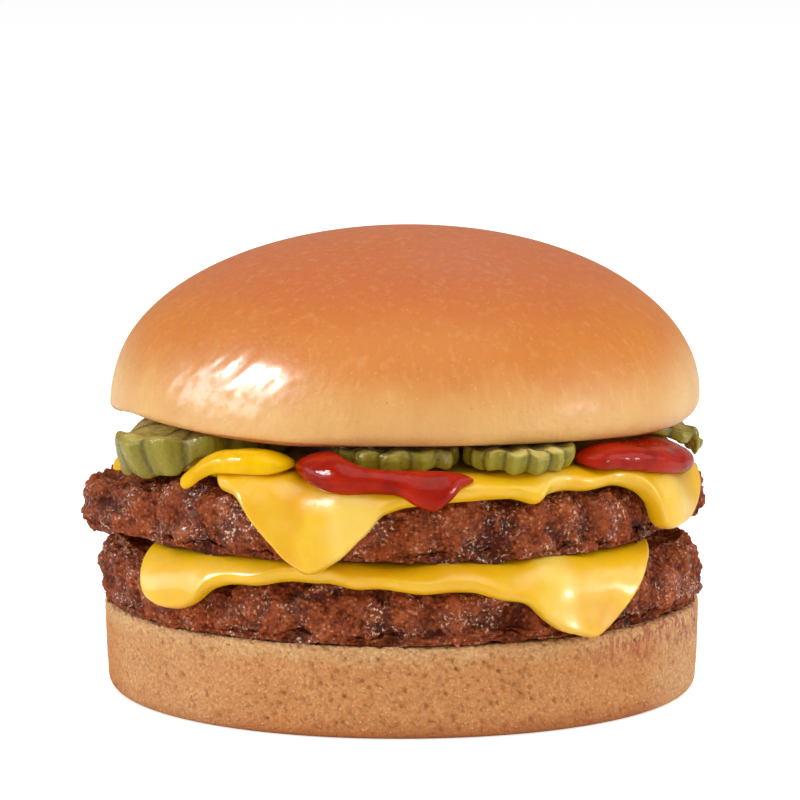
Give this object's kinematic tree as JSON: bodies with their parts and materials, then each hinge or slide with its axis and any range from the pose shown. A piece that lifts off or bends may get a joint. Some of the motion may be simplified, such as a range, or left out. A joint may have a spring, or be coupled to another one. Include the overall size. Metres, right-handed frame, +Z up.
{
  "type": "cheeseburger",
  "caption": "Double cheeseburger: toasted bun heel, beef patties with draped melting cheese, pickle chips, ketchup, mustard and a smooth domed bun crown.",
  "frame": {"origin": "middle of the heel's flat underside", "axes": "+Z up through the stack, -Y towards the front that shows the draped cheese corner, +X to the right of that front"},
  "size_m": [0.1079, 0.1117, 0.0794],
  "materials": {
    "bun_crust": "smooth baked crust, golden brown, softly glossy",
    "bun_crumb": "fine porous crumb, tan, matte, toasted upper edge",
    "beef": "coarse grilled ground beef, dark brown, wet with fat",
    "cheese": "melting slice, warm yellow, glossy",
    "pickle": "crinkle cut, olive green, wet",
    "ketchup": "thick red sauce, wet gloss",
    "mustard": "thick yellow sauce, glossy"
  },
  "bodies": {
    "root": {"heel": "bun_crumb", "lower_patty": "beef", "lower_cheese": "cheese", "upper_patty": "beef", "upper_cheese": "cheese", "chip_left": "pickle", "chip_front": "pickle", "chip_middle": "pickle", "chip_right": "pickle", "chip_back_right": "pickle", "chip_back_left": "pickle", "ketchup_front": "ketchup", "ketchup_right": "ketchup", "mustard_ribbon": "mustard", "mustard_dab": "mustard", "crown": "bun_crust"}
  },
  "joints": []
}
